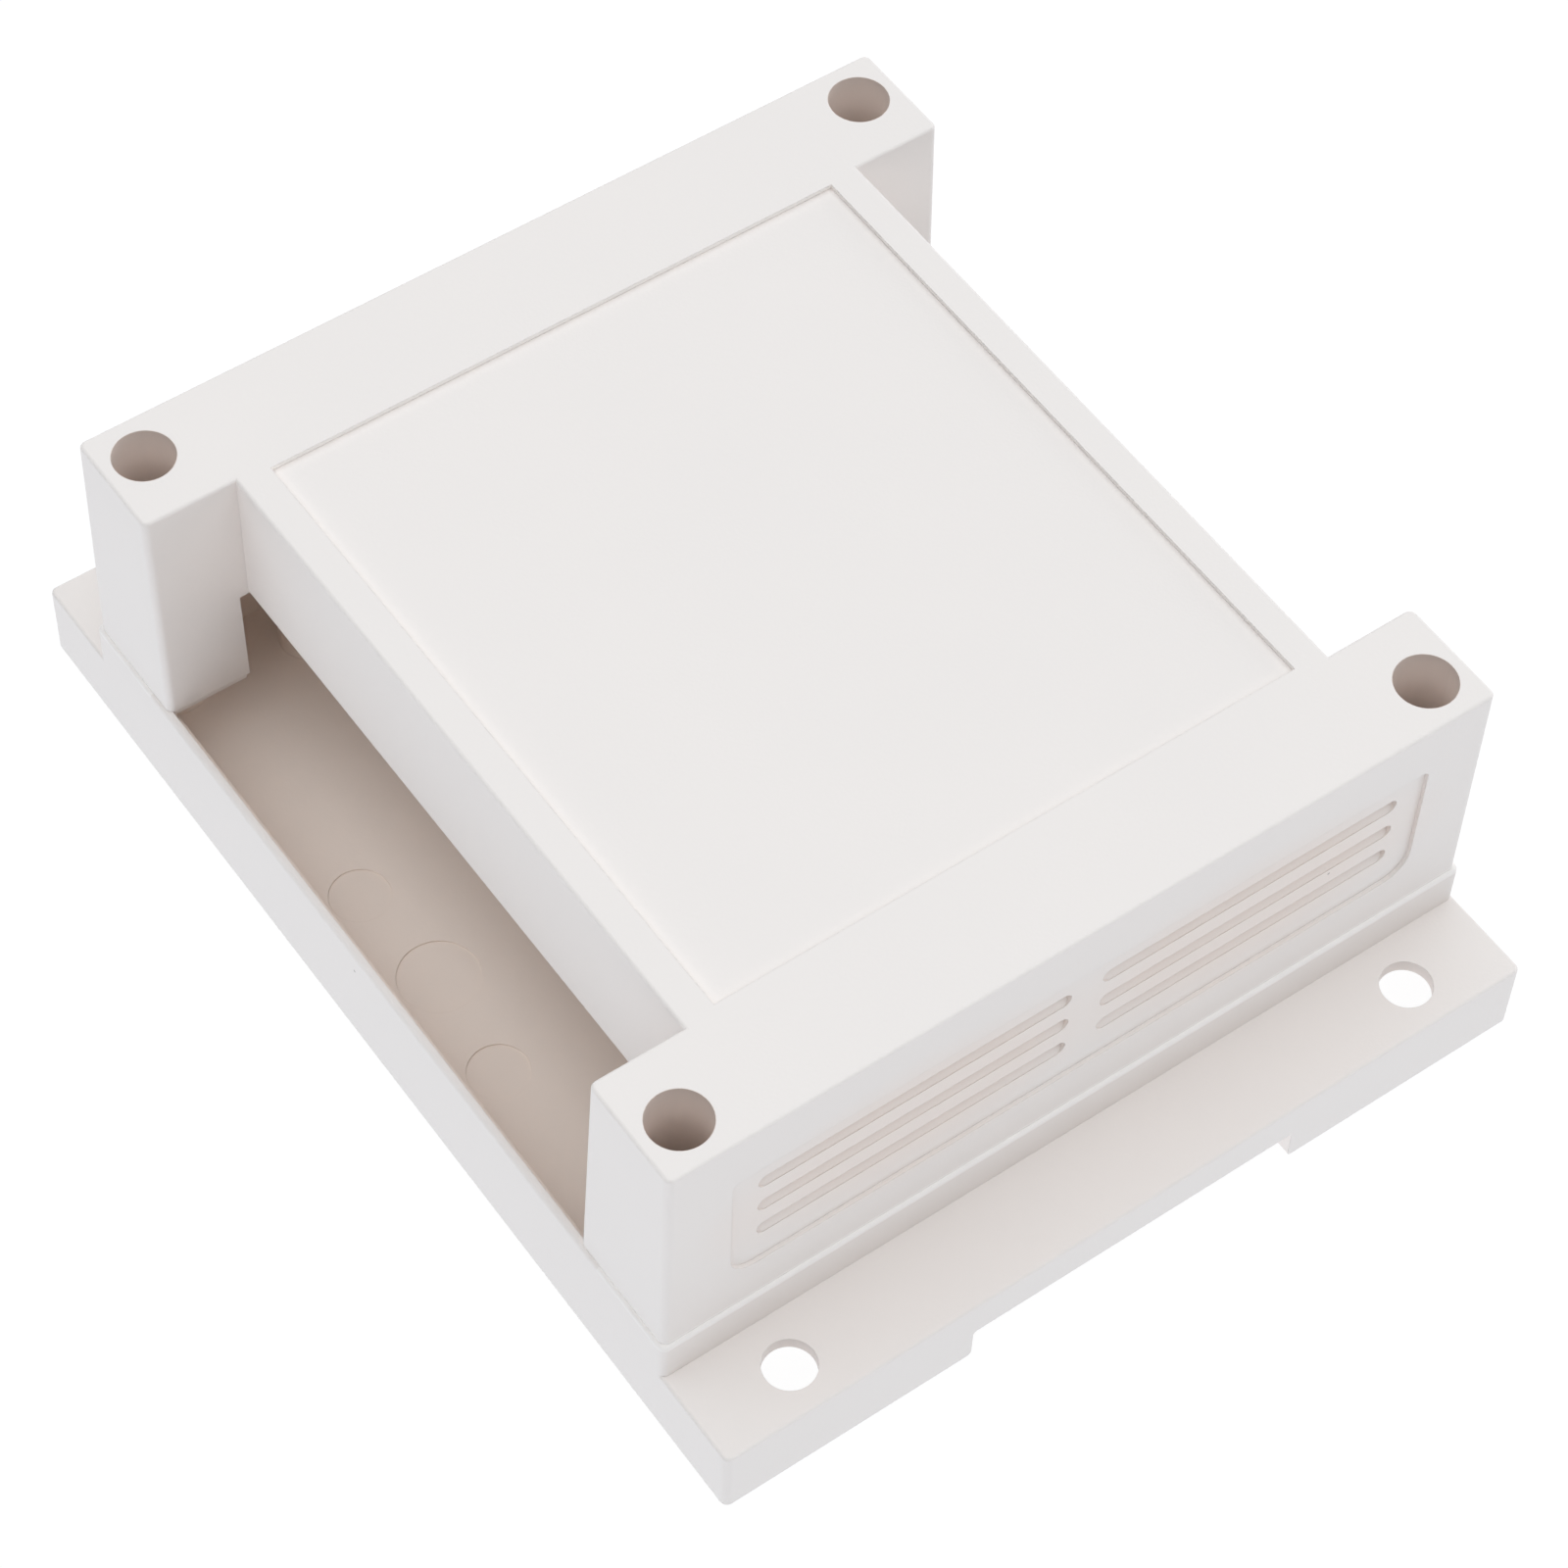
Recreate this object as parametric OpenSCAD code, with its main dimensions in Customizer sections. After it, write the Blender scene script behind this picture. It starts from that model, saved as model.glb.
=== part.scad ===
// Two-part housing for a 35 mm rail: a tray with mounting flanges, a screwed
// cover with open terminal sides, and two sliding latches under the floor.
// X runs across the terminal sides, Y along the rail, Z up from the mounting face.

/* [Overall size] */
// Width across the two terminal sides
box_w = 90; // [84:1:120]
// Length over both mounting flanges, along the rail
box_l = 115; // [108:1:160]
// Height from the mounting face to the top of the cover
box_h = 40; // [37:1:60]
// Rounding of the outer vertical corners
corner_r = 0.75; // [0.6:0.05:1.2]

/* [Base] */
// Height of the parting line between base and cover
parting_h = 13.2; // [12.2:0.1:15]
// How far each flange stands out from the tray's end wall
flange_out = 9.8; // [9:0.05:12]
// Height of the flange's top face
flange_h = 8.35; // [7.4:0.05:9.4]
// Thickness of the flange plate
flange_t = 1.4; // [1.2:0.1:2.4]
// Rounding of the flange's top edges
flange_r = 0.3; // [0.1:0.05:0.55]
// Thickness of the wall at the flange's outer end
foot_t = 2; // [1.4:0.1:2.4]
// Thickness of the tray's side and end walls
base_wall = 1.6; // [1.4:0.05:2]
// Thickness of the floor
floor_t = 1.5; // [1.2:0.1:1.8]
// Thickness of the thin rim that locates the cover
rim_t = 0.75; // [0.6:0.05:0.95]
// Height of that rim above its inner ledge
rim_h = 2; // [1.6:0.1:2.4]
// Rounding of the tray's outer top edges
rim_r = 0.5; // [0.2:0.05:0.55]

/* [Flange holes] */
// Diameter of the four mounting holes
hole_d = 5.1; // [4:0.1:6]
// Distance between two holes of one flange
hole_pitch = 70; // [64:1:74]
// From a hole's centre to the flange's outer end
hole_end = 4.7; // [4.4:0.1:5.2]

/* [Rail channel] */
// Width of the channel that takes the 35 mm rail
channel_w = 36.4; // [36:0.1:38]
// Depth of the channel, from the mounting face to the floor's underside
channel_h = 3.85; // [3.6:0.05:4.2]
// Thickness of the ribs along the channel and across the underside
rib_t = 1.6; // [1.2:0.1:2]
// Distance of the hooks and latches from the middle of the box
latch_y = 28; // [24:0.5:32]
// Reach of the fixed hooks under the rail's edge
hook_out = 2.3; // [1.8:0.1:2.8]
// Width of each fixed hook
hook_w = 12; // [9:0.5:15]

/* [Rail latch] */
// Width of the latch's body
latch_w = 10.4; // [9:0.1:12]
// Width of the wing along each side of the body
wing_w = 1; // [0.8:0.1:1.4]
// Reach of the latch's nose into the channel when locked
nose_out = 2.8; // [2.2:0.1:3.2]
// Travel from locked to free
latch_travel = 4; // [3.6:0.1:4.4]
// Running clearance round the latch
latch_gap = 0.2; // [0.15:0.05:0.3]

/* [Cover] */
// How far the cover's foot stands back from the base all round
cover_in = 0.36; // [0.25:0.01:0.45]
// Draft of the cover's outer sides, from foot to top
side_draft = 0.3; // [0:0.05:0.6]
// Draft of the cover's end walls, from foot to top
end_draft = 0.05; // [0:0.05:0.3]
// Draft of the posts' and bars' faces along the terminal openings, from foot to top
face_draft = 1; // [0:0.05:1.1]
// Thickness of the cover's walls
cover_wall = 2; // [1.8:0.1:2.2]
// Width of the bar across each end, at the posts' feet
bar_w = 12.8; // [12.2:0.05:14]
// Depth of the step along each terminal side, at the top
side_step = 9.95; // [9.6:0.05:12]
// Width of the screw post under each end of a bar
post_w = 8.8; // [8.6:0.1:9.2]
// Height of the terminal opening above the parting line
opening_h = 11.1; // [9:0.1:14]
// Rounding of the cover's top edges
top_r = 0.35; // [0.2:0.05:0.55]
// Draft of the skirts' outer faces, from the lower edge to the top
skirt_draft = 0.2; // [0:0.05:0.4]
// Rounding of the skirts' lower edges
skirt_r = 0.5; // [0.2:0.05:0.7]
// Clearance between the cover's spigot and the rim
fit_gap = 0.1; // [0.05:0.01:0.15]

/* [Label recess] */
// Depth of the label recess in the top
label_d = 0.5; // [0.2:0.05:0.8]
// From the panel's long edge to the recess
label_side = 3.4; // [3:0.1:6]
// From the cover's end to the recess
label_end = 12.3; // [11:0.1:16]

/* [Vents] */
// Rows of slots at each end
vent_rows = 3; // [1:1:3]
// Height of a slot
slot_h = 1.7; // [1.2:0.1:2]
// Distance from one row to the next
slot_pitch = 3.8; // [3.2:0.1:4.2]
// Width of the bar between the two groups of slots
slot_mid = 3.45; // [2.5:0.05:6]
// From the end of a slot to the end of the sunk field
slot_end = 2.95; // [2:0.05:5]
// Depth of the sunk field round the slots, at the cover's foot
field_d = 0.45; // [0.4:0.05:0.7]
// From the cover's side to the sunk field
field_side = 6.9; // [6:0.1:10]
// From the top of the cover down to the sunk field
field_drop = 6.4; // [5:0.1:7]
// From the parting line up to the sunk field
field_rise = 5.1; // [4:0.1:6]

/* [Cover screws] */
// Diameter of the counterbores in the posts
bore_d = 6; // [5.6:0.1:6.2]
// From a screw's axis to the outer side of the base
screw_side = 4.95; // [4.9:0.05:5.1]
// From a screw's axis to the outer face of the tray's end wall
screw_end = 5.05; // [4.9:0.05:5.2]
// Length of the screws under the head
screw_len = 9; // [8:0.5:9.5]
// Diameter of the screws' shanks
screw_d = 2.4; // [2:0.1:2.6]

/* [Hidden] */

// Overrun of every cut past the face that it opens
over = 1;
// Thin slice that a drafted block starts from
slice_h = 0.02;
// Straight pieces in each quarter of a rounded edge
arc_steps = 5;
// Straight pieces round a vertical corner's full circle
corner_steps = 24;
$fn = 48;

plastic = [0.92, 0.91, 0.9];
inner_plastic = [0.88, 0.87, 0.85];
steel = [0.7, 0.71, 0.73];

// Base
half_w = box_w / 2;
half_l = box_l / 2;
tray_half_l = half_l - flange_out;
tray_half_w = half_w - base_wall;
tray_in_l = tray_half_l - base_wall;
floor_z = channel_h + floor_t;
ledge_z = parting_h - rim_h;
channel_x = channel_w / 2;
foot_in_l = half_l - foot_t;
hollow_z = flange_h - flange_t;
notch_r = 0.5;
boss_r = 3.5;
board_post_r = 3;
board_post_h = 4;
board_post_x = 26;
board_post_end = 7.1;
board_pilot_r = 1.1;

// Witness rings of the moulding on the floor: distance in from the tray wall, place along it, radius
ring_d = 0.15;
ring_small_r = 3;
ring_large_r = 4;
ring_in = 5.05;
ring_mid_in = 6.2;
ring_y = 11.8;

// Hooks and latches
hook_z = 2.6;
hook_tip = 0.6;
hook_foot = 0.3;
core_gap = 0.25;
latch_floor = 0.6;
nose_t = 2;
nose_tip = 0.5;
guide_t = 1.4;
lip_t = 1.1;
lip_reach = 0.9;
latch_tail = 0.4;
stop_x = 26.2;
stop_l = 3.6;
stop_w = 4.4;
stop_ramp = 1.2;
pry_l = 6;
pry_w = 1.6;
pry_end = 4.5;
grip_w = 0.8;
grip_d = 0.5;

// Cover
cover_half_w = half_w - cover_in;
cover_half_l = tray_half_l - cover_in;
spigot_half_w = half_w - rim_t - fit_gap;
spigot_half_l = tray_half_l - rim_t - fit_gap;
spigot_gap = 0.5;
spigot_z = ledge_z + spigot_gap;
opening_y = cover_half_l - bar_w;
opening_top_y = opening_y + face_draft;
panel_x = cover_half_w - side_step;
skirt_x = panel_x + skirt_draft;
post_x = cover_half_w - post_w;
skirt_z = parting_h + opening_h;
cover_in_l = cover_half_l - cover_wall;
cover_in_z = box_h - cover_wall;
label_x = panel_x - label_side;
label_y = cover_half_l - label_end;

// Vents
field_x = cover_half_w - field_side;
field_top = box_h - field_drop;
field_low = parting_h + field_rise;
field_low_r = 2.7;
field_top_r = 0.8;
slot_drop = 3.15;
slot_len = field_x - slot_end - slot_mid / 2;

// Screws
screw_x = half_w - screw_side;
screw_y = tray_half_l - screw_end;
screw_web = 3.3;
seat_z = spigot_z + screw_web;
boss_gap = 0.1;
boss_top = spigot_z - boss_gap;
thread_gap = 0.05;
pilot_spare = 1;
clear_d = 3.4;
head_d = 5.4;
head_h = 2;
head_dome = 0.7;
recess_w = 0.8;
recess_l = 2.8;
recess_d = 1.1;

// Points of an arc about a centre
function arc(centre, r, from, to) =
    [for (i = [0 : arc_steps]) let (a = from + (to - from) * i / arc_steps)
        centre + r * [cos(a), sin(a)]];

module both_sides() {
    children();
    mirror([1, 0, 0]) children();
}

module both_ends() {
    children();
    mirror([0, 1, 0]) children();
}

// A box centred in X and Y that reaches from one height to another
module slab(half_x, half_y, low, high) {
    translate([-half_x, -half_y, low]) cube([2 * half_x, 2 * half_y, high - low]);
}

// An XZ outline drawn along Y, centred on the given place
module along_y(y, width) {
    translate([0, y + width / 2, 0]) rotate([90, 0, 0]) linear_extrude(width) children();
}

// One vertical corner of a drafted block, from its foot to its rounded top edge
module block_corner(foot, top, edge_r) {
    translate(foot - [corner_r, corner_r, 0]) cylinder(r = corner_r, h = slice_h, $fn = corner_steps);
    translate(top - [corner_r, corner_r, edge_r]) rotate_extrude($fn = corner_steps)
        polygon(concat([[0, 0]], arc([corner_r - edge_r, 0], edge_r, 0, 90), [[0, edge_r]]));
}

// Base

module base_shell() {
    difference() {
        union() {
            hull() both_sides() both_ends()
                block_corner([half_w, half_l, 0], [half_w, half_l, flange_h], flange_r);
            hull() both_sides() both_ends()
                block_corner([half_w, tray_half_l, 0], [half_w, tray_half_l, parting_h], rim_r);
        }
        slab(tray_half_w, tray_in_l, floor_z, parting_h + over);
        slab(half_w - rim_t, tray_half_l - rim_t, ledge_z, parting_h + over);
        slab(tray_half_w, foot_in_l, -over, channel_h);
        both_ends() translate([-tray_half_w, tray_half_l, -over])
            cube([2 * tray_half_w, foot_in_l - tray_half_l, hollow_z + over]);
    }
}

// Outline of the notch that lets the rail through an end wall
module notch_outline() {
    low = notch_r;
    x = channel_x;
    polygon(concat([[-x - low, -over], [-x - low, 0]], arc([-x - low, low], low, -90, 0),
        arc([-x + low, channel_h - low], low, 180, 90), arc([x - low, channel_h - low], low, 90, 0),
        arc([x + low, low], low, 180, 270), [[x + low, -over]]));
}

// One rib along the channel, as deep as the hollow that it crosses
module channel_rib() {
    translate([channel_x, -foot_in_l, 0]) cube([rib_t, 2 * foot_in_l, channel_h]);
    both_ends() translate([channel_x, tray_half_l, 0])
        cube([rib_t, foot_in_l - tray_half_l, hollow_z]);
}

// Fixed hook that takes one edge of the rail
module rail_hook(y) {
    along_y(y, hook_w) polygon([[-channel_x - rib_t, hook_z], [hook_out - channel_x, hook_z],
        [hook_out - channel_x, hook_z - hook_tip], [hook_foot - channel_x, hook_foot],
        [-channel_x - rib_t, hook_foot]]);
}

// Rails with lips that carry the wings of a latch, and the post that stops it
module latch_guide(y) {
    reach = latch_w / 2 + wing_w + latch_gap;
    translate([0, y, 0]) {
        both_ends() {
            translate([channel_x + rib_t, reach, 0])
                cube([tray_half_w - channel_x - rib_t, guide_t, channel_h]);
            translate([channel_x + rib_t, reach - lip_reach, latch_floor])
                cube([tray_half_w - channel_x - rib_t, lip_reach, lip_t]);
        }
        along_y(0, stop_w) polygon([[stop_x, channel_h], [stop_x, latch_floor],
            [stop_x + stop_l - stop_ramp, latch_floor],
            [stop_x + stop_l, latch_floor + stop_ramp], [stop_x + stop_l, channel_h]]);
    }
}

// Way for a latch through the channel rib and the side wall
module latch_way(y) {
    reach = latch_w / 2 + wing_w + latch_gap;
    for (x = [channel_x - over, tray_half_w - over]) translate([x, y - reach, -over])
        cube([rib_t + 2 * over, 2 * reach, channel_h + over]);
}

module screw_boss() {
    translate([screw_x, screw_y, channel_h]) cylinder(r = boss_r, h = boss_top - channel_h);
}

module board_post() {
    translate([board_post_x, tray_half_l - board_post_end, channel_h])
        cylinder(r = board_post_r, h = floor_t + board_post_h);
}

module floor_rings() {
    both_ends() translate([tray_half_w - ring_in, ring_y, floor_z - ring_d])
        cylinder(r = ring_small_r, h = over);
    translate([tray_half_w - ring_mid_in, 0, floor_z - ring_d])
        cylinder(r = ring_large_r, h = over);
}

module base() {
    color(plastic) difference() {
        union() {
            base_shell();
            both_sides() channel_rib();
            both_sides() both_ends() screw_boss();
            both_sides() both_ends() board_post();
            for (y = [-latch_y, latch_y]) {
                rail_hook(y);
                latch_guide(y);
                translate([-tray_half_w, y - rib_t / 2, 0])
                    cube([tray_half_w - channel_x, rib_t, channel_h]);
            }
        }
        both_ends() along_y(half_l, 2 * foot_t) notch_outline();
        for (y = [-latch_y, latch_y]) {
            latch_way(y);
            translate([-channel_x, y - hook_w / 2 - core_gap, hook_z])
                cube([hook_out + core_gap, hook_w + 2 * core_gap, floor_z + over - hook_z]);
        }
        both_sides() both_ends() {
            translate([hole_pitch / 2, half_l - hole_end, hollow_z - over])
                cylinder(d = hole_d, h = flange_t + 2 * over);
            translate([screw_x, screw_y, seat_z - screw_len - pilot_spare])
                cylinder(d = screw_d + 2 * thread_gap, h = box_h);
            translate([board_post_x, tray_half_l - board_post_end, floor_z])
                cylinder(r = board_pilot_r, h = board_post_h + over);
        }
        both_sides() floor_rings();
    }
}

// Cover

// One bar with the two posts under its ends
module end_bar() {
    hull() both_sides() {
        block_corner([cover_half_w, cover_half_l, parting_h],
            [cover_half_w - side_draft, cover_half_l - end_draft, box_h], top_r);
        mirror([0, 1, 0]) block_corner([cover_half_w, -opening_y, parting_h],
            [cover_half_w - side_draft, -opening_top_y, box_h], top_r);
    }
}

// The raised panel between the bars, down to the skirts' lower edges
module panel() {
    along_y(0, 2 * (opening_top_y + cover_wall)) polygon(concat(
        arc([skirt_x - skirt_r, skirt_z + skirt_r], skirt_r, -90, 0),
        arc([panel_x - top_r, box_h - top_r], top_r, 0, 90),
        arc([top_r - panel_x, box_h - top_r], top_r, 90, 180),
        arc([skirt_r - skirt_x, skirt_z + skirt_r], skirt_r, 180, 270)));
}

// The thinner foot of the posts and end walls, which stands inside the rim
module spigot() {
    translate([-spigot_half_w, opening_y + corner_r, spigot_z])
        cube([2 * spigot_half_w, spigot_half_l - opening_y - corner_r, parting_h + over - spigot_z]);
}

// Hollow under the panel, between the posts and inside the bars
module cover_hollow() {
    slab(post_x, cover_in_l, spigot_z - over, skirt_z);
    slab(panel_x - cover_wall, cover_in_l, skirt_z - over, cover_in_z);
    both_ends() translate([-post_x, opening_top_y + cover_wall, skirt_z - over])
        cube([2 * post_x, cover_in_l - opening_top_y - cover_wall, cover_in_z - skirt_z + over]);
}

// Outline of one vent slot with round ends
module slot_outline() {
    r = slot_h / 2;
    square([slot_len - slot_h, slot_h], center = true);
    for (x = [r - slot_len / 2, slot_len / 2 - r]) translate([x, 0]) circle(r = r, $fn = 24);
}

// Outline of the sunk field round the vents
module field_outline() {
    x = field_x;
    polygon(concat(arc([x - field_low_r, field_low + field_low_r], field_low_r, -90, 0),
        arc([x - field_top_r, field_top - field_top_r], field_top_r, 0, 90),
        arc([field_top_r - x, field_top - field_top_r], field_top_r, 90, 180),
        arc([field_low_r - x, field_low + field_low_r], field_low_r, 180, 270)));
}

module end_vents() {
    along_y(cover_half_l - field_d + over, 2 * over) field_outline();
    both_sides() for (row = [0 : vent_rows - 1])
        translate([slot_mid / 2 + slot_len / 2, 0, field_top - slot_drop - row * slot_pitch])
            along_y(cover_half_l, 2 * cover_wall + over) slot_outline();
}

module screw_way() {
    translate([screw_x, screw_y, seat_z]) cylinder(d = bore_d, h = box_h);
    translate([screw_x, screw_y, spigot_z - over]) cylinder(d = clear_d, h = screw_web + 2 * over);
}

module cover() {
    color(plastic) difference() {
        union() {
            both_ends() end_bar();
            both_ends() spigot();
            panel();
        }
        cover_hollow();
        slab(label_x, label_y, box_h - label_d, box_h + over);
        both_ends() end_vents();
        both_sides() both_ends() screw_way();
    }
}

// Screws

module cover_screw() {
    translate([screw_x, screw_y, seat_z]) difference() {
        union() {
            rotate_extrude() polygon(concat([[0, 0], [head_d / 2, 0]],
                arc([head_d / 2 - head_dome, head_h - head_dome], head_dome, 0, 90), [[0, head_h]]));
            translate([0, 0, -screw_len]) cylinder(d = screw_d, h = screw_len);
        }
        for (turn = [0, 90]) rotate(turn) translate([0, 0, head_h])
            cube([recess_l, recess_w, 2 * recess_d], center = true);
    }
}

module cover_screws() {
    color(steel) both_sides() both_ends() cover_screw();
}

// Latches

// One latch in its locked place, with its nose in the channel
module rail_latch(y) {
    shoulder = channel_x + latch_gap;
    top = channel_h - latch_gap;
    wing_z = latch_floor + lip_t + latch_gap;
    tail = half_w - latch_tail;
    body = latch_w / 2;
    color(inner_plastic) difference() {
        union() {
            along_y(y, latch_w) polygon([[channel_x - nose_out, latch_floor + nose_t],
                [channel_x - nose_out, latch_floor + nose_t - nose_tip],
                [shoulder - nose_tip, latch_floor], [tail, latch_floor], [tail, top],
                [shoulder, top], [shoulder, latch_floor + nose_t]]);
            translate([shoulder, y - body - wing_w, wing_z])
                cube([tail - shoulder, latch_w + 2 * wing_w, top - wing_z]);
        }
        translate([stop_x - latch_travel - latch_gap, y - stop_w / 2 - latch_gap, -over])
            cube([stop_l + latch_travel + 2 * latch_gap, stop_w + 2 * latch_gap, box_h]);
        translate([tail - pry_end - pry_w, y - pry_l / 2, -over]) cube([pry_w, pry_l, box_h]);
        for (i = [1, 2]) translate([tail - pry_end + (2 * i - 1) * grip_w, y - pry_l / 2, -over])
            cube([grip_w, pry_l, over + latch_floor + grip_d]);
    }
}

module front_rail_latch() {
    rail_latch(-latch_y);
}

module rear_rail_latch() {
    rail_latch(latch_y);
}

base();
cover();
cover_screws();
front_rail_latch();
rear_rail_latch();
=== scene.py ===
"""Looks of the junction box: moulded plastic, plated screws, studio light and camera.

Every size is in metres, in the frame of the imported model: X across the terminal
sides, Y along the rail, Z up from the mounting face.
"""
import logging
import math
from dataclasses import dataclass

import bmesh
import bpy
from mathutils import Matrix, Vector


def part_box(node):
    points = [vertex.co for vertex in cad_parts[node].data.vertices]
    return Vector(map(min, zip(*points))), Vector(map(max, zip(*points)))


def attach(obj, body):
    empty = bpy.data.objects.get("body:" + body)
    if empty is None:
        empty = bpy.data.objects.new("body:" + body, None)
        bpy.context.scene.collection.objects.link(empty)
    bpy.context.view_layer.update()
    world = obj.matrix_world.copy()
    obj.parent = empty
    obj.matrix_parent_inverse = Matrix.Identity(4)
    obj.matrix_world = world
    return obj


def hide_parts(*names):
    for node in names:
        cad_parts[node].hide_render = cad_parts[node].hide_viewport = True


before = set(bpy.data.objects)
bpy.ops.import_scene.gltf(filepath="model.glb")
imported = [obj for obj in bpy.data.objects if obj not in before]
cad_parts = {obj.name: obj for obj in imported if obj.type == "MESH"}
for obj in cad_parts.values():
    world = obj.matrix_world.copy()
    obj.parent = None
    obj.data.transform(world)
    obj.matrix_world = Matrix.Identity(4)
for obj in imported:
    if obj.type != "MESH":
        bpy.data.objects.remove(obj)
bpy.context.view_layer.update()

LOG = logging.getLogger("junction_box")
MATERIAL_OUTPUT = "ShaderNodeOutputMaterial"
WORLD_OUTPUT = "ShaderNodeOutputWorld"
MM = 0.001

Colour = tuple[float, float, float]
Point = tuple[float, float, float]


class NodeGraph:
    """A short way to lay out and join the shader nodes of one material or world."""

    def __init__(self, owner: bpy.types.Material | bpy.types.World) -> None:
        """Empties the node tree of a material or world.

        Args:
            owner: the material or world to lay out.
        """
        owner.use_nodes = True
        self.tree = owner.node_tree
        self.tree.nodes.clear()

    def node(self, kind: str, **inputs: object) -> bpy.types.Node:
        """Adds a node and sets or links its inputs.

        Args:
            kind: the node's type name, such as ShaderNodeMath.
            **inputs: values or output sockets, by input name with _ for a space.

        Returns:
            The new node.
        """
        made = self.tree.nodes.new(kind)
        for name, value in inputs.items():
            self.put(made.inputs[name.replace("_", " ")], value)
        return made

    def put(self, socket: bpy.types.NodeSocket, value: object) -> None:
        """Links an output socket to an input, or sets the input's value.

        Args:
            socket: the input.
            value: an output socket, a number or a colour.
        """
        if isinstance(value, bpy.types.NodeSocket):
            self.tree.links.new(value, socket)
        else:
            socket.default_value = value

    def row(self, kind: str, *inputs: object) -> bpy.types.Node:
        """Adds a node and sets or links its inputs in their order.

        Args:
            kind: the node's type name.
            *inputs: values or output sockets, from the first input on.

        Returns:
            The new node.
        """
        made = self.tree.nodes.new(kind)
        for socket, value in zip(made.inputs, inputs):
            self.put(socket, value)
        return made

    def math(self, operation: str, *operands: object) -> bpy.types.NodeSocket:
        """Adds a Math node.

        Args:
            operation: the node's operation.
            *operands: numbers or output sockets.

        Returns:
            The node's output.
        """
        made = self.row("ShaderNodeMath", *operands)
        made.operation = operation
        return made.outputs[0]

    def inverse(self, value: object) -> bpy.types.NodeSocket:
        """One minus a value."""
        return self.math("SUBTRACT", 1.0, value)

    def vector(self, operation: str, *operands: object) -> bpy.types.NodeSocket:
        """Adds a Vector Math node.

        Args:
            operation: the node's operation.
            *operands: vectors or output sockets.

        Returns:
            The node's vector output.
        """
        made = self.row("ShaderNodeVectorMath", *operands)
        made.operation = operation
        return made.outputs[0]

    def measure(self, operation: str, *operands: object) -> bpy.types.NodeSocket:
        """Adds a Vector Math node that gives a number.

        Args:
            operation: the node's operation, such as LENGTH.
            *operands: vectors or output sockets.

        Returns:
            The node's number.
        """
        return self.vector(operation, *operands).node.outputs["Value"]

    def blend(self, share: object, first: object, second: object) -> bpy.types.NodeSocket:
        """Mixes two colours.

        Args:
            share: how much of the second colour.
            first: the first colour.
            second: the second colour.

        Returns:
            The mixed colour.
        """
        made = self.tree.nodes.new("ShaderNodeMix")
        made.data_type = "RGBA"
        self.put(made.inputs[0], share)
        self.put(made.inputs[6], first)
        self.put(made.inputs[7], second)
        return made.outputs[2]

    def tinted(self, level: object, tint: Colour) -> bpy.types.NodeSocket:
        """Gives a light level a tint.

        Args:
            level: the level.
            tint: the tint.

        Returns:
            The light's colour.
        """
        grey = self.node("ShaderNodeCombineXYZ", X=level, Y=level, Z=level)
        return self.vector("MULTIPLY", grey.outputs[0], tint)

    def spread(self, value: object, low: float, high: float) -> bpy.types.NodeSocket:
        """Maps a value from low..high to 0..1, clamped.

        Args:
            value: the value.
            low: what becomes 0.
            high: what becomes 1.

        Returns:
            The mapped value.
        """
        return self.node("ShaderNodeMapRange", Value=value, From_Min=low, From_Max=high).outputs[0]

    def within(self, value: object, low: float, high: float) -> bpy.types.NodeSocket:
        """Tells values between two limits from the others.

        Args:
            value: the value.
            low: the lower limit.
            high: the upper limit.

        Returns:
            1 between the limits, 0 outside.
        """
        over = self.math("GREATER_THAN", value, low)
        return self.math("MULTIPLY", over, self.math("LESS_THAN", value, high))

    def close(self, output: str, shader: bpy.types.Node) -> None:
        """Joins the last shader to the output node.

        Args:
            output: the output node's type name.
            shader: the last shader's node.
        """
        self.node(output, Surface=shader.outputs[0])


def rgba(colour: Colour) -> tuple[float, float, float, float]:
    """The colour with full opacity."""
    return (*colour, 1.0)


@dataclass(frozen=True)
class Room:
    """A box-shaped zone of a moulding, mirrored in both middle planes."""

    half_x: float
    half_y: float
    low: float
    high: float
    from_y: float = -MM
    strength: float = 1.0

    def mask(self, graph: NodeGraph, place: bpy.types.NodeSocket) -> bpy.types.NodeSocket:
        """Tells the faces inside the zone from the others.

        Args:
            graph: the material's nodes.
            place: a point of the surface, folded onto positive X and Y.

        Returns:
            The strength inside, 0 outside.
        """
        across, along, height = graph.node("ShaderNodeSeparateXYZ", Vector=place).outputs
        beside = graph.math("LESS_THAN", across, self.half_x)
        between = graph.within(along, self.from_y, self.half_y)
        under = graph.within(height, self.low, self.high)
        inside = graph.math("MULTIPLY", beside, graph.math("MULTIPLY", between, under))
        return graph.math("MULTIPLY", inside, self.strength)


@dataclass(frozen=True)
class Bore:
    """An upright bore in each corner of a moulding."""

    x: float
    y: float
    radius: float

    def mask(self, graph: NodeGraph, place: bpy.types.NodeSocket) -> bpy.types.NodeSocket:
        """Tells the faces inside the bores from the others.

        Args:
            graph: the material's nodes.
            place: a point of the surface, folded onto positive X and Y.

        Returns:
            1 inside, 0 outside.
        """
        flat = graph.vector("MULTIPLY", place, (1.0, 1.0, 0.0))
        away = graph.measure("DISTANCE", flat, (self.x, self.y, 0.0))
        return graph.math("LESS_THAN", away, self.radius)


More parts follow.
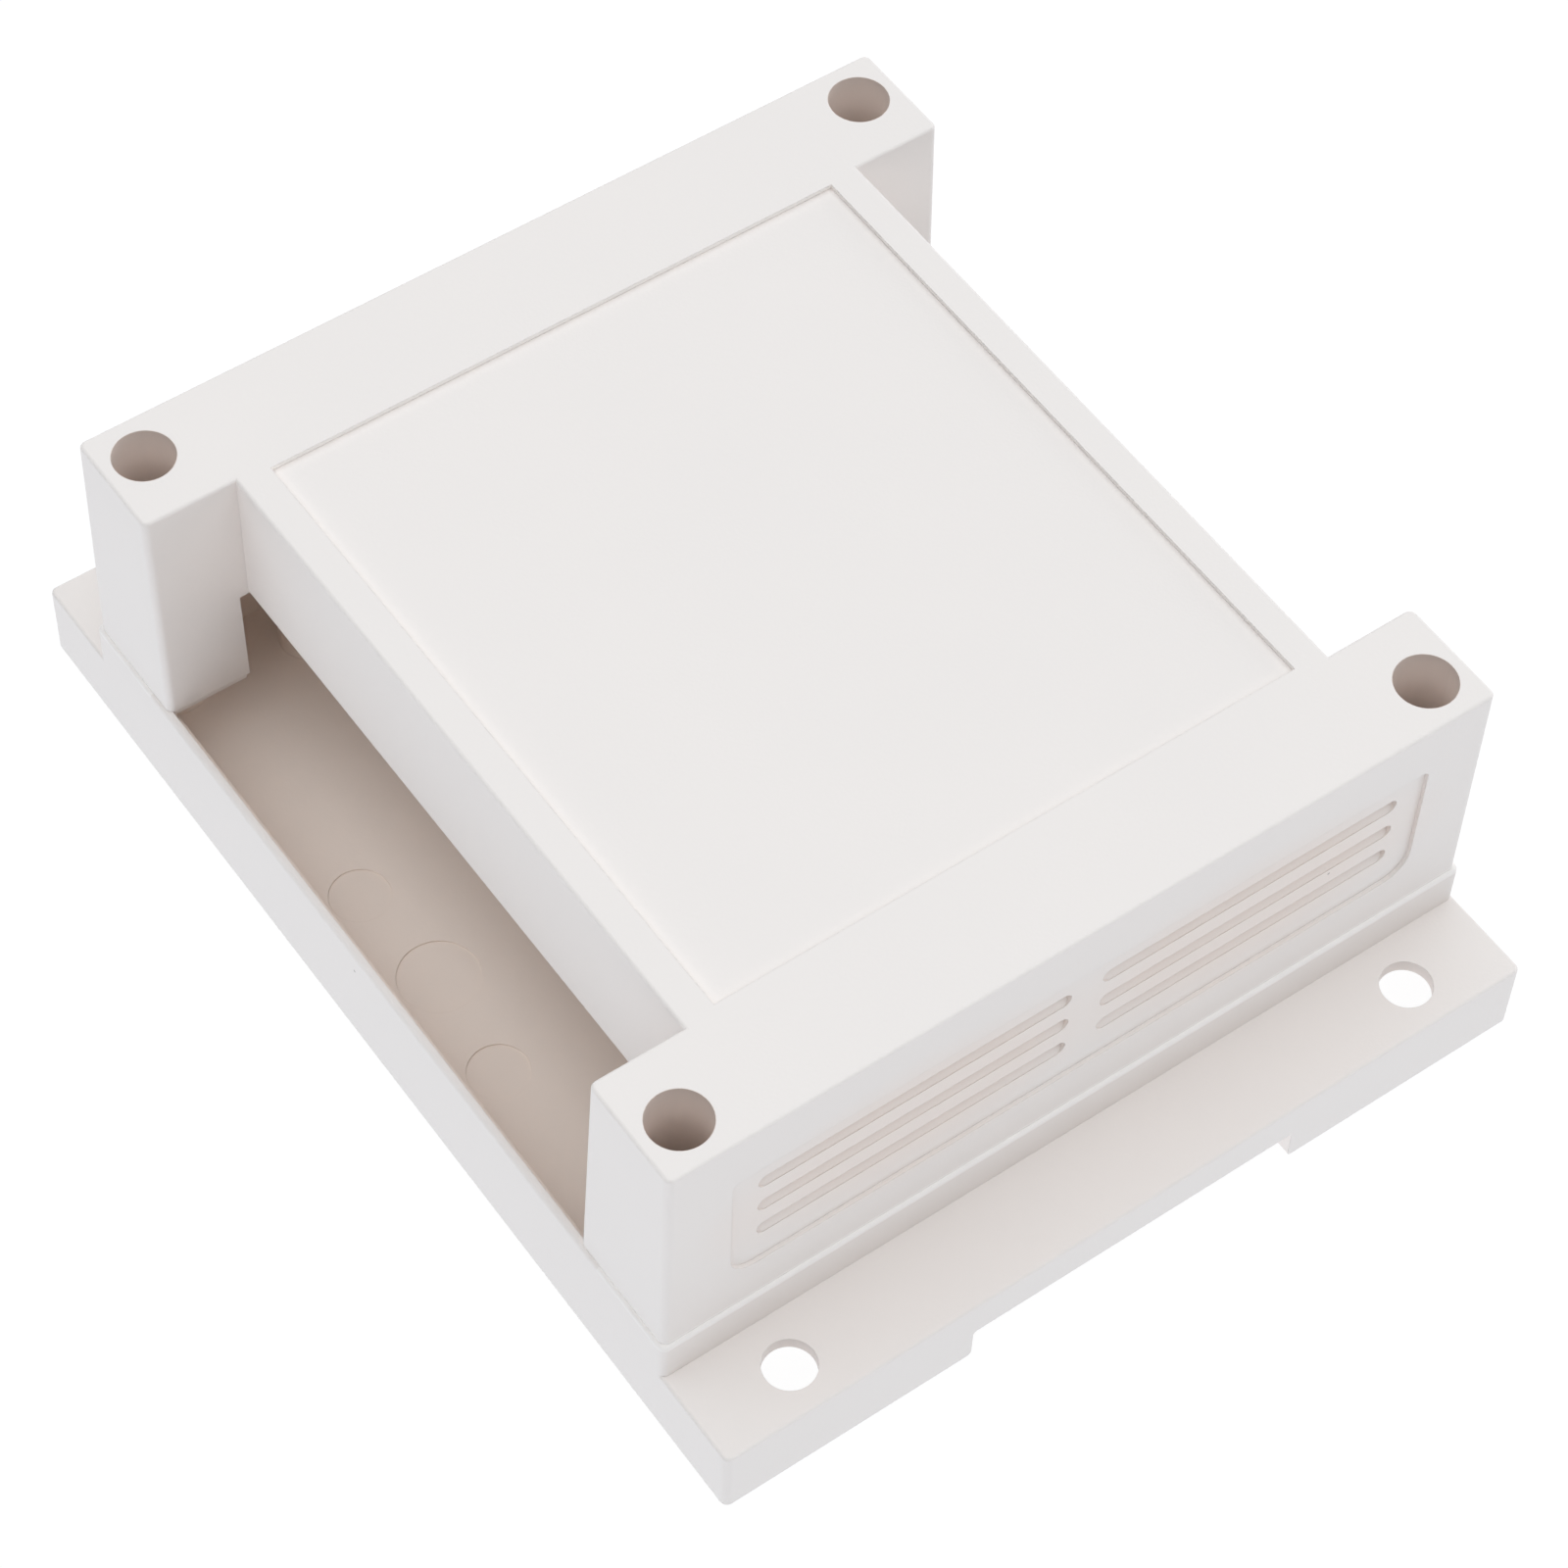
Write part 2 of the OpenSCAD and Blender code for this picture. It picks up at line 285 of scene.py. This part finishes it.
@dataclass(frozen=True)
class PaintedWarmPatch:
    """A patch of painted warm light on a moulding, with a soft outline, mirrored in both middle planes."""

    middle: Point
    reach: Point
    core: float = 0.5
    strength: float = 0.8

    def mask(self, graph: NodeGraph, place: bpy.types.NodeSocket) -> bpy.types.NodeSocket:
        """Fades from the middle of the patch outward.

        Args:
            graph: the material's nodes.
            place: a point of the surface, folded onto positive X and Y.

        Returns:
            The strength at the core, 0 outside.
        """
        away = graph.vector("DIVIDE", graph.vector("SUBTRACT", place, self.middle), self.reach)
        fading = graph.inverse(graph.spread(graph.measure("LENGTH", away), self.core, 1.0))
        return graph.math("MULTIPLY", fading, self.strength)


@dataclass(frozen=True)
class MouldedPlastic:
    """Injection-moulded plastic with a fine spark-eroded texture.

    No light passes through the walls here, so painted light stands in for it: the insides of the mouldings,
    the screw bores and the vent field are painted a little warmer than the skin, and low steps and seams a
    little paler.
    """

    name: str
    colour: Colour
    tint: Colour
    speck: Colour
    # Painted light: low steps and seams get this paler colour, which lifts the shade in their creases.
    pale_painted_light: Colour = (1.0, 0.945, 0.9)
    steps: tuple[Room, ...] = ()
    # Painted light: the insides of the mouldings get this warmer, lighter colour, which stands in for warm
    # light bounced round them.
    painted_bounce_warmth: Colour = (0.9, 0.77, 0.68)
    painted_bounce_hollows: tuple[Room, ...] = ()
    # Painted shade and light: the screw bores get this warmer colour as painted shade, and the vent field
    # gets it as painted warm light.
    deep: Colour = (0.84, 0.72, 0.65)
    painted_warm_zones: tuple[Bore | PaintedWarmPatch, ...] = ()
    roughness: float = 0.55
    rough_spread: float = 0.12
    ior: float = 1.5
    grain: float = 0.35 * MM
    grain_depth: float = 0.01 * MM
    flow: float = 22 * MM
    flow_range: tuple[float, float] = (0.35, 0.7)
    edge: float = 0.1 * MM
    edge_samples: int = 2
    speck_cell: float = 9 * MM
    speck_size: float = 0.16 * MM
    speck_share: float = 0.09
    speck_depth: float = 0.6

    def painted(self, graph: NodeGraph, place: bpy.types.NodeSocket) -> bpy.types.NodeSocket:
        """Lays out the colour of the skin and its specks, with painted light: paler steps and seams, warmer
        insides, bores and vent field.

        Args:
            graph: the material's nodes.
            place: a point of the surface.

        Returns:
            The colour.
        """
        flow = graph.node("ShaderNodeTexNoise", Vector=place, Scale=1 / self.flow, Detail=3.0)
        share = graph.spread(flow.outputs[0], *self.flow_range)
        colour = graph.blend(share, rgba(self.colour), rgba(self.tint))
        folded = graph.vector("ABSOLUTE", place)
        # Painted light and shade: paler steps and seams, warmer insides, and warmer bores and vent field.
        for zones, paint in ((self.steps, self.pale_painted_light), (self.painted_bounce_hollows, self.painted_bounce_warmth), (self.painted_warm_zones, self.deep)):
            for zone in zones:
                colour = graph.blend(zone.mask(graph, folded), colour, rgba(paint))
        specks = graph.node("ShaderNodeTexVoronoi", Vector=place, Scale=1 / self.speck_cell, Randomness=1.0)
        near = graph.math("LESS_THAN", specks.outputs["Distance"], self.speck_size / self.speck_cell)
        pick = graph.node("ShaderNodeSeparateColor", Color=specks.outputs["Color"]).outputs[0]
        dark = graph.math("MULTIPLY", near, graph.math("LESS_THAN", pick, self.speck_share))
        return graph.blend(graph.math("MULTIPLY", dark, self.speck_depth), colour, rgba(self.speck))

    def build(self) -> bpy.types.Material:
        """Lays out the material.

        Returns:
            The new material.
        """
        made = bpy.data.materials.new(self.name)
        graph = NodeGraph(made)
        place = graph.node("ShaderNodeTexCoord").outputs["Object"]
        grain = graph.node("ShaderNodeTexNoise", Vector=place, Scale=1 / self.grain, Detail=2.0).outputs[0]
        rounded = graph.node("ShaderNodeBevel", Radius=self.edge)
        rounded.samples = self.edge_samples
        bump = graph.node("ShaderNodeBump", Height=grain, Distance=self.grain_depth, Strength=1.0)
        graph.put(bump.inputs["Normal"], rounded.outputs[0])
        skin = graph.node("ShaderNodeBsdfPrincipled", Normal=bump.outputs[0], IOR=self.ior)
        graph.put(skin.inputs["Base Color"], self.painted(graph, place))
        offset = self.roughness - self.rough_spread / 2
        graph.put(skin.inputs["Roughness"], graph.math("MULTIPLY_ADD", grain, self.rough_spread, offset))
        graph.close(MATERIAL_OUTPUT, skin)
        return made


@dataclass(frozen=True)
class PlatedSteel:
    """Bright zinc plating on a rolled screw."""

    name: str
    colour: Colour
    shade: Colour
    roughness: float = 0.3
    rough_spread: float = 0.2
    cloud: float = 1.2 * MM
    cloud_range: tuple[float, float] = (0.3, 0.7)
    edge: float = 0.05 * MM

    def build(self) -> bpy.types.Material:
        """Lays out the material.

        Returns:
            The new material.
        """
        made = bpy.data.materials.new(self.name)
        graph = NodeGraph(made)
        place = graph.node("ShaderNodeTexCoord").outputs["Object"]
        cloud = graph.node("ShaderNodeTexNoise", Vector=place, Scale=1 / self.cloud, Detail=4.0).outputs[0]
        share = graph.spread(cloud, *self.cloud_range)
        rounded = graph.node("ShaderNodeBevel", Radius=self.edge)
        skin = graph.node("ShaderNodeBsdfPrincipled", Normal=rounded.outputs[0], Metallic=1.0)
        graph.put(skin.inputs["Base Color"], graph.blend(share, rgba(self.colour), rgba(self.shade)))
        offset = self.roughness - self.rough_spread / 2
        graph.put(skin.inputs["Roughness"], graph.math("MULTIPLY_ADD", cloud, self.rough_spread, offset))
        graph.close(MATERIAL_OUTPUT, skin)
        return made


# Painted light: the insides of the base and the cover are painted warmer and lighter, which stands in for
# warm light bounced round them.
TRAY_PAINTED_BOUNCE = (Room(44.4 * MM, 47.1 * MM, 5.1 * MM, 13.15 * MM),)
COVER_PAINTED_BOUNCE = (
    Room(33.0 * MM, 45.37 * MM, 11.0 * MM, 38.3 * MM),
    Room(35.95 * MM, 45.37 * MM, 11.0 * MM, 38.3 * MM, from_y=37.2 * MM),
)
# Painted shade and light: the screw bores are painted warmer as shade, and the vent field warmer as light
# through the walls.
COVER_PAINTED_WARMTH = (
    Bore(40.05 * MM, 42.65 * MM, 3.05 * MM),
    PaintedWarmPatch((18.26 * MM, 46.5 * MM, 26.65 * MM), (24.0 * MM, 6.0 * MM, 10.0 * MM)),
)
# Painted light: the label's step and the seam between base and cover are painted paler, which lifts the
# shade in their creases.
LABEL_STEP_PAINTED_LIGHT = Room(31.8 * MM, 35.6 * MM, 39.56 * MM, 39.98 * MM)
SEAM_PAINTED_LIGHT = Room(50.0 * MM, 48.5 * MM, 12.7 * MM, 13.5 * MM, from_y=37.6 * MM, strength=0.4)
OFF_WHITE = ((0.83, 0.755, 0.71), (0.84, 0.763, 0.716), (0.25, 0.2, 0.16))
TRAY = MouldedPlastic("tray_plastic_look", *OFF_WHITE, painted_bounce_hollows=TRAY_PAINTED_BOUNCE, steps=(SEAM_PAINTED_LIGHT,))
COVER = MouldedPlastic(
    "cover_plastic_look", *OFF_WHITE, painted_bounce_hollows=COVER_PAINTED_BOUNCE, painted_warm_zones=COVER_PAINTED_WARMTH, steps=(LABEL_STEP_PAINTED_LIGHT, SEAM_PAINTED_LIGHT)
)
WAXY_WHITE = ((0.76, 0.705, 0.665), (0.78, 0.722, 0.685), (0.3, 0.26, 0.2))
LATCH = MouldedPlastic("latch_plastic_look", *WAXY_WHITE, roughness=0.42, speck_share=0.0)
ZINC = PlatedSteel("screw_steel_look", (0.62, 0.63, 0.65), (0.5, 0.5, 0.51))


def dress(node: str, look: bpy.types.Material) -> bpy.types.Object:
    """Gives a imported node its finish.

    Args:
        node: the node's name.
        look: the material.

    Returns:
        The node's object.
    """
    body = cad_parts[node]
    body.data.materials.clear()
    body.data.materials.append(look)
    return body


def loft(shape: bmesh.types.BMesh, rows: list[list[bmesh.types.BMVert]]) -> None:
    """Joins rings of as many points each into a closed skin.

    Args:
        shape: the mesh that holds the points.
        rows: the rings, from the first end to the last.
    """
    for low, high in zip(rows, rows[1:]):
        for step, here in enumerate(low):
            after = (step + 1) % len(low)
            shape.faces.new((here, low[after], high[after], high[step]))
    shape.faces.new(list(reversed(rows[0])))
    shape.faces.new(rows[-1])


def closed(name: str, shape: bmesh.types.BMesh) -> bpy.types.Mesh:
    """Turns a finished shape into a mesh and frees the shape.

    Args:
        name: the mesh's name.
        shape: the shape.

    Returns:
        The mesh.
    """
    made = bpy.data.meshes.new(name)
    shape.to_mesh(made)
    shape.free()
    return made


def stand(name: str, data: bpy.types.Mesh | bpy.types.Camera) -> bpy.types.Object:
    """Puts a mesh or a camera into the scene.

    Args:
        name: the object's name.
        data: the mesh or the camera.

    Returns:
        The object.
    """
    made = bpy.data.objects.new(name, data)
    bpy.context.scene.collection.objects.link(made)
    return made


@dataclass
class Tray:
    """The base moulding."""

    node: str = "base"

    def build(self, look: bpy.types.Material) -> bpy.types.Object:
        """Dresses the moulding."""
        return dress(self.node, look)


@dataclass
class Cover:
    """The cover moulding."""

    node: str = "cover"

    def build(self, look: bpy.types.Material) -> bpy.types.Object:
        """Dresses the moulding."""
        return dress(self.node, look)


@dataclass
class VentSills:
    """Sloped sills in the vent slots, which lead water out and close the view into the box."""

    body: str = "housing"
    slot: str = "housing_plastic"
    field_d: float = 0.45 * MM
    wall: float = 2.0 * MM
    rows: tuple[float, ...] = (30.45 * MM, 26.65 * MM, 22.85 * MM)
    middle: float = 18.2575 * MM
    length: float = 33.065 * MM
    height: float = 1.7 * MM
    sill: float = 1.35 * MM
    lip: float = 0.06 * MM
    back: float = 1.5 * MM
    bite: float = 0.02 * MM
    steps: int = 10

    def outline(self) -> list[tuple[float, float]]:
        """Points of the slot's lower part, round from the left end to the right one.

        Returns:
            Points across and up from the slot's centre.
        """
        radius = self.height / 2
        reach = self.length / 2 - radius
        top = math.degrees(math.asin((self.sill - radius) / radius))
        points = []
        for side, first, last in ((1, -90.0, top), (-1, 180.0 - top, 270.0)):
            for step in range(self.steps + 1):
                turn = math.radians(first + (last - first) * step / self.steps)
                grown = radius + self.bite
                points.append((side * reach + grown * math.cos(turn), grown * math.sin(turn)))
        return points

    def build(self, look: bpy.types.Material) -> bpy.types.Object:
        """Fills the lower part of every slot with its sill.

        Args:
            look: the material.

        Returns:
            The sills as one piece.
        """
        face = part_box("cover")[1][1] - self.field_d
        shape = bmesh.new()
        for end in (-1, 1):
            for side in (-1, 1):
                for row in self.rows:
                    self.one(shape, side * self.middle, row, end, face)
        mesh = closed("vent_sills", shape)
        mesh.materials.append(look)
        made = stand("vent_sills", mesh)
        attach(made, self.body)
        return made

    def one(self, shape: bmesh.types.BMesh, middle: float, row: float, end: int, face: float) -> None:
        """Adds one sill.

        Args:
            shape: the mesh to add to.
            middle: the slot's centre across the box.
            row: the slot's centre in height.
            end: -1 for the front end of the box, 1 for the rear.
            face: distance of the slots' outer faces from the middle of the box.
        """
        slope = (self.wall - self.field_d - self.lip) / self.height
        low = -self.height / 2
        front, rear = [], []
        for across, up in self.outline():
            deep = self.lip + slope * (up - low)
            front.append(shape.verts.new((middle + across, end * (face - deep), row + up)))
            rear.append(shape.verts.new((middle + across, end * (face - self.back), row + up)))
        if end > 0:
            front.reverse()
            rear.reverse()
        loft(shape, [rear, front])


@dataclass
class RailLatch:
    """A sliding latch under the floor, with its edges broken as the mould leaves them."""

    node: str
    edge: float = 0.12 * MM
    segments: int = 2
    sharp: float = 30.0
    weld: float = 0.002 * MM
    flat: float = 0.6

    def build(self, look: bpy.types.Material) -> bpy.types.Object:
        """Dresses the latch and rounds its edges by modifiers, which leave its mesh as it is.

        Args:
            look: the material.

        Returns:
            The latch.
        """
        body = dress(self.node, look)
        body.modifiers.new("weld", "WELD").merge_threshold = self.weld
        flat = body.modifiers.new("flat", "DECIMATE")
        flat.decimate_type = "DISSOLVE"
        flat.angle_limit = math.radians(self.flat)
        edge = body.modifiers.new("edge", "BEVEL")
        edge.width = self.edge
        edge.segments = self.segments
        edge.use_clamp_overlap = False
        edge.limit_method = "ANGLE"
        edge.angle_limit = math.radians(self.sharp)
        return body


@dataclass
class CoverScrews:
    """Four self-tapping screws, each with a rolled thread and a cross recess in its head."""

    node: str = "cover_screws"
    body: str = "housing"
    slot: str = "screw_steel"
    head_r: float = 2.7 * MM
    head_h: float = 2.0 * MM
    dome: float = 0.7 * MM
    rim: float = 0.12 * MM
    length: float = 9.0 * MM
    neck: float = 0.6 * MM
    tip: float = 1.5 * MM
    tip_r: float = 0.25 * MM
    root_r: float = 0.92 * MM
    crest_r: float = 1.2 * MM
    pitch: float = 1.1 * MM
    ridge_share: float = 0.45
    recess_l: float = 2.8 * MM
    recess_w: float = 0.8 * MM
    recess_d: float = 1.1 * MM
    taper_share: float = 0.55
    round_steps: int = 32
    dome_steps: int = 6
    ring_step: float = 0.11 * MM
    crease: float = 32.0

    def thread(self, turn: float, height: float) -> float:
        """Radius of the shank at a turn and a height under the head.

        Args:
            turn: the place round the axis, in whole turns.
            height: the height over the head's seat, below zero along the shank.

        Returns:
            The radius.
        """
        along = (height / self.pitch - turn) % 1.0
        ridge = max(0.0, 1.0 - abs(2.0 * along - 1.0) / self.ridge_share)
        fade = min(1.0, max(0.0, (-height - self.neck) / self.pitch))
        narrow = min(1.0, (height + self.length) / self.tip)
        core = self.tip_r + (self.root_r - self.tip_r) * narrow
        return core + (self.crest_r - self.root_r) * ridge * fade * narrow

    def rings(self) -> list[list[Point]]:
        """Points of one screw, ring by ring from its tip to the top of its head.

        Returns:
            Rings of as many points each, with the head's seat at height zero.
        """
        turns = [step / self.round_steps for step in range(self.round_steps)]
        steps = round(self.length / self.ring_step)
        heights = [step * self.length / steps - self.length for step in range(steps + 1)]
        made = []
        for height in heights:
            made.append([self.place(self.thread(turn, height), turn, height) for turn in turns])
        head = [(self.head_r - self.rim, 0.0), (self.head_r, self.rim)]
        for step in range(self.dome_steps + 1):
            lift = math.radians(90 * step / self.dome_steps)
            inward, down = self.dome * (1 - math.cos(lift)), self.dome * (1 - math.sin(lift))
            head.append((self.head_r - inward, self.head_h - down))
        made += [[self.place(radius, turn, height) for turn in turns] for radius, height in head]
        return made

    def place(self, radius: float, turn: float, height: float) -> Point:
        """A point at a radius, a turn and a height."""
        return (radius * math.cos(turn * math.tau), radius * math.sin(turn * math.tau), height)

    def blank(self) -> bpy.types.Mesh:
        """Makes the closed mesh of one screw without its recess.

        Returns:
            The mesh.
        """
        shape = bmesh.new()
        loft(shape, [[shape.verts.new(point) for point in ring] for ring in self.rings()])
        return closed("screw_blank", shape)

    def cross(self) -> bpy.types.Mesh:
        """Makes the tapered cross that is cut from a head.

        Returns:
            The mesh.
        """
        shape = bmesh.new()
        rows = []
        floor, over = self.head_h - self.recess_d, self.head_h + self.rim
        for height, share in ((floor, self.taper_share), (over, 1.0)):
            wide, far = self.recess_w / 2 * share, self.recess_l / 2 * share
            arm = [(far, -wide), (far, wide), (wide, wide)]
            row = []
            for quarter in range(4):
                turned = Matrix.Rotation(quarter * math.pi / 2, 3, "Z")
                row += [shape.verts.new(turned @ Vector((x, y, height))) for x, y in arm]
            rows.append(row)
        loft(shape, rows)
        return closed("screw_cross", shape)

    def one(self) -> bpy.types.Mesh:
        """Cuts the recess into a blank.

        Returns:
            The finished mesh of one screw.
        """
        blank = stand("screw_blank", self.blank())
        cross = stand("screw_cross", self.cross())
        cut = blank.modifiers.new("recess", "BOOLEAN")
        cut.operation = "DIFFERENCE"
        cut.solver = "EXACT"
        cut.object = cross
        shown = bpy.context.evaluated_depsgraph_get()
        made = bpy.data.meshes.new_from_object(blank.evaluated_get(shown))
        for piece in (blank, cross):
            bpy.data.objects.remove(piece)
        return made

    def build(self, look: bpy.types.Material) -> bpy.types.Object:
        """Sets a finished screw in each corner of the cover.

        Args:
            look: the material.

        Returns:
            The four screws as one piece.
        """
        low, high = (Vector(corner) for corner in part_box(self.node))
        far_x, far_y, seat = high.x - self.head_r, high.y - self.head_r, low.z + self.length
        one = self.one()
        shape = bmesh.new()
        for x in (-far_x, far_x):
            for y in (-far_y, far_y):
                known = len(shape.verts)
                shape.from_mesh(one)
                shape.verts.ensure_lookup_table()
                bmesh.ops.translate(shape, verts=shape.verts[known:], vec=Vector((x, y, seat)))
        mesh = closed("threaded_screws", shape)
        mesh.set_sharp_from_angle(angle=math.radians(self.crease))
        mesh.materials.append(look)
        made = stand("threaded_screws", mesh)
        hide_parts(self.node)
        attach(made, self.body)
        return made


@dataclass
class Camera:
    """The camera that took the photograph, as fitted to the box's edges."""

    azimuth: float = -37.696
    elevation: float = 54.201
    roll: float = 2.806
    distance: float = 0.42906
    target: Point = (-0.001036, -0.003988, 0.012194)
    lens: float = 104.947
    sensor: float = 36.0
    near: float = 0.01

    def build(self) -> bpy.types.Object:
        """Makes the camera and gives it to the scene.

        Returns:
            The camera.
        """
        made = stand("camera", bpy.data.cameras.new("camera"))
        made.data.lens = self.lens
        made.data.sensor_width = self.sensor
        turn, lift, roll = (math.radians(x) for x in (self.azimuth, self.elevation, self.roll))
        back = Vector((math.sin(turn) * math.cos(lift), -math.cos(turn) * math.cos(lift), math.sin(lift)))
        right = Vector((math.cos(turn), math.sin(turn), 0.0))
        up = back.cross(right)
        across = right * math.cos(roll) + up * math.sin(roll)
        above = up * math.cos(roll) - right * math.sin(roll)
        place = Vector(self.target) + back * self.distance
        facing = Matrix((across, above, back)).transposed().to_4x4()
        made.matrix_world = Matrix.Translation(place) @ facing
        made.data.clip_start = self.near
        bpy.context.scene.camera = made
        return made


@dataclass
class Studio:
    """A glowing white table under one wide softbox, with a low panel on the latches' side.

    Its levels were fitted to the photograph's tones. Heights are those of a direction's unit
    vector, from -1 straight down to 1 straight up.
    """

    floor_half: float = 4.0
    floor_glow: float = 0.92
    floor_white: float = 0.1
    table_tint: Colour = (0.935, 1.0, 1.068)
    table_light: float = 1.05
    table_left: float = 0.447
    lamp_tint: Colour = (0.936, 1.0, 1.048)
    softbox_rim: float = 1.7
    softbox_middle: float = 1.335
    softbox_heights: tuple[float, float, float] = (0.45, 0.7, 0.9)
    panel_light: float = 2.088
    panel_heights: tuple[float, float] = (0.15, 0.45)
    horizon: float = 0.03
    backdrop: Colour = (0.97, 0.97, 0.97)

    def world(self) -> bpy.types.World:
        """Sets the light from all round: the table, the panel and the softbox.

        Returns:
            The world.
        """
        made = bpy.data.worlds.new("studio")
        graph = NodeGraph(made)
        way = graph.node("ShaderNodeTexCoord").outputs["Generated"]
        side, _, height = graph.node("ShaderNodeSeparateXYZ", Vector=way).outputs
        low, full, high = self.softbox_heights
        drop = self.softbox_middle - self.softbox_rim
        level = graph.math("MULTIPLY_ADD", graph.spread(height, full, high), drop, self.softbox_rim)
        softbox = graph.math("MULTIPLY", graph.spread(height, low, full), level)
        fading = graph.inverse(graph.spread(height, *self.panel_heights))
        right = graph.math("MAXIMUM", graph.math("MULTIPLY", side, self.panel_light), 0.0)
        above = graph.tinted(graph.math("MULTIPLY_ADD", right, fading, softbox), self.lamp_tint)
        left = graph.math("MAXIMUM", graph.math("MULTIPLY", side, -self.table_left), 0.0)
        below = graph.tinted(graph.math("ADD", left, self.table_light), self.table_tint)
        light = graph.blend(graph.spread(height, -self.horizon, self.horizon), below, above)
        seen = graph.node("ShaderNodeLightPath").outputs["Is Camera Ray"]
        glow = graph.node("ShaderNodeBackground", Color=graph.blend(seen, light, rgba(self.backdrop)))
        graph.close(WORLD_OUTPUT, glow)
        bpy.context.scene.world = made
        return made

    def table(self) -> bpy.types.Object:
        """Lays the white table top, which only the camera sees, and only from above.

        Returns:
            The table top.
        """
        mesh = bpy.data.meshes.new("table_top")
        half = self.floor_half
        corners = [(-half, -half, 0), (half, -half, 0), (half, half, 0), (-half, half, 0)]
        mesh.from_pydata(corners, [], [(0, 1, 2, 3)])
        made = stand("table_top", mesh)
        look = bpy.data.materials.new("white_table")
        graph = NodeGraph(look)
        white = graph.node("ShaderNodeBsdfDiffuse", Color=rgba((self.floor_white,) * 3))
        glow = graph.node("ShaderNodeEmission", Color=rgba((self.floor_glow,) * 3), Strength=1.0)
        lit = graph.row("ShaderNodeAddShader", white.outputs[0], glow.outputs[0])
        clear = graph.node("ShaderNodeBsdfTransparent")
        below = graph.node("ShaderNodeNewGeometry").outputs["Backfacing"]
        both = graph.row("ShaderNodeMixShader", below, lit.outputs[0], clear.outputs[0])
        graph.close(MATERIAL_OUTPUT, both)
        mesh.materials.append(look)
        for ray in ("diffuse", "glossy", "transmission", "volume_scatter", "shadow"):
            setattr(made, f"visible_{ray}", False)
        return made

    def build(self) -> None:
        """Sets up the world and the table."""
        self.world()
        self.table()
        bpy.context.scene.view_settings.view_transform = "Standard"


def main() -> None:
    """Builds every piece in order."""
    logging.basicConfig(level=logging.INFO, format="%(name)s: %(message)s")
    tray = TRAY.build()
    cover = COVER.build()
    latch = LATCH.build()
    zinc = ZINC.build()
    LOG.info("base: %s", Tray().build(tray).name)
    LOG.info("cover: %s", Cover().build(cover).name)
    LOG.info("vents: %s", VentSills().build(cover).name)
    LOG.info("screws: %s", CoverScrews().build(zinc).name)
    for name in ("front_rail_latch", "rear_rail_latch"):
        LOG.info("latch: %s", RailLatch(name).build(latch).name)
    Studio().build()
    Camera().build()


if __name__ == "__main__":
    main()
